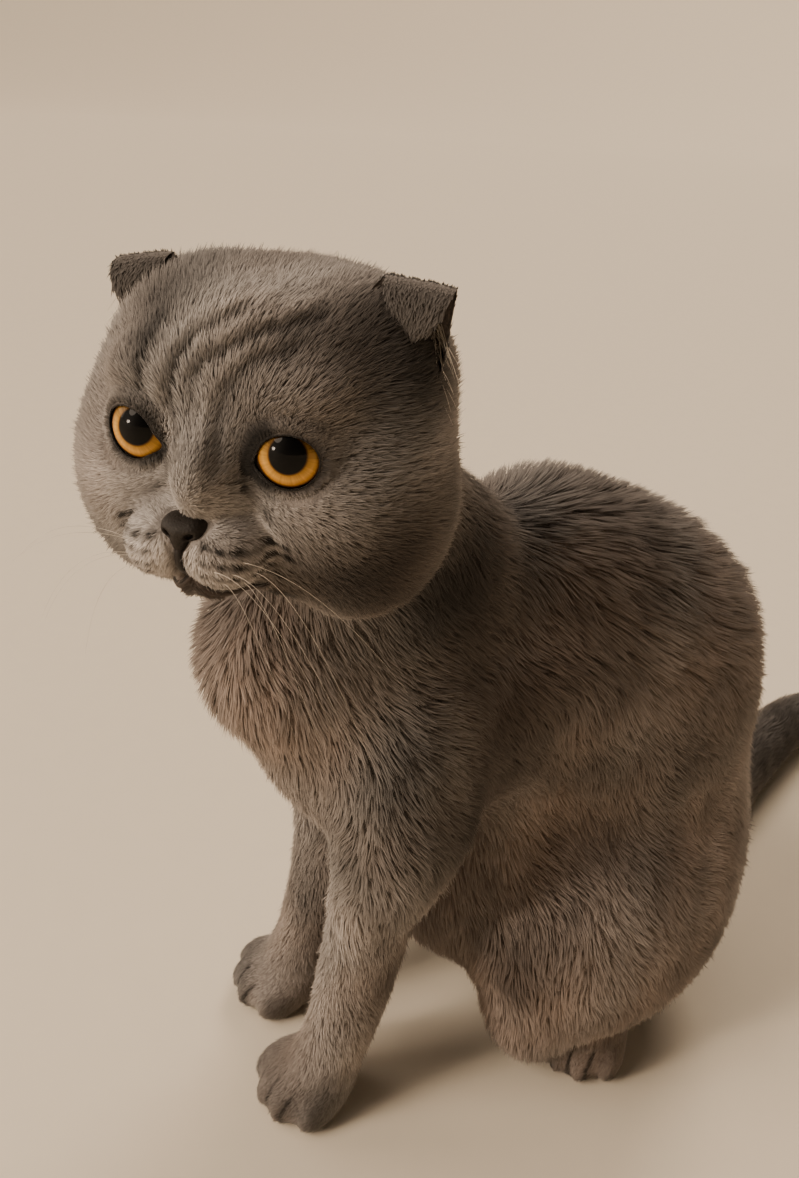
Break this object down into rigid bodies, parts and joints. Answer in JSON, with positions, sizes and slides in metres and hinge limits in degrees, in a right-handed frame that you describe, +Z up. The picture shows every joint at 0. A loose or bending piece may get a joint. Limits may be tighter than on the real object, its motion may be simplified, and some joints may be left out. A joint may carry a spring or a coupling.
{
  "type": "scottish fold cat",
  "caption": "Still, life-size model of a sitting Scottish Fold cat with folded ears, round face, dense blue-grey coat and its tail laid out behind.",
  "frame": {"origin": "middle of the bounding box on the floor, under the back of the body", "axes": "+Z up from the floor, -Y the way the chest faces, +X to the cat's left"},
  "size_m": [0.2049, 0.5678, 0.3707],
  "materials": {
    "coat": "dense matt plush fur, blue-grey with a warm brown cast",
    "coat_face": "short matt plush fur, a little lighter than the body",
    "eye": "wet gloss, amber iris and black pupil",
    "nose_leather": "dark grey-brown, slightly moist",
    "whisker": "pale stiff hair",
    "claw": "dark horn, smooth"
  },
  "bodies": {
    "root": {"head": "coat_face", "nose": "nose_leather", "ear_left": "coat_face", "ear_right": "coat_face", "eye_left": "eye", "eye_right": "eye", "neck": "coat", "torso": "coat", "foreleg_left": "coat", "foreleg_right": "coat", "hindleg_left": "coat", "hindleg_right": "coat", "tail": "coat"}
  },
  "joints": []
}
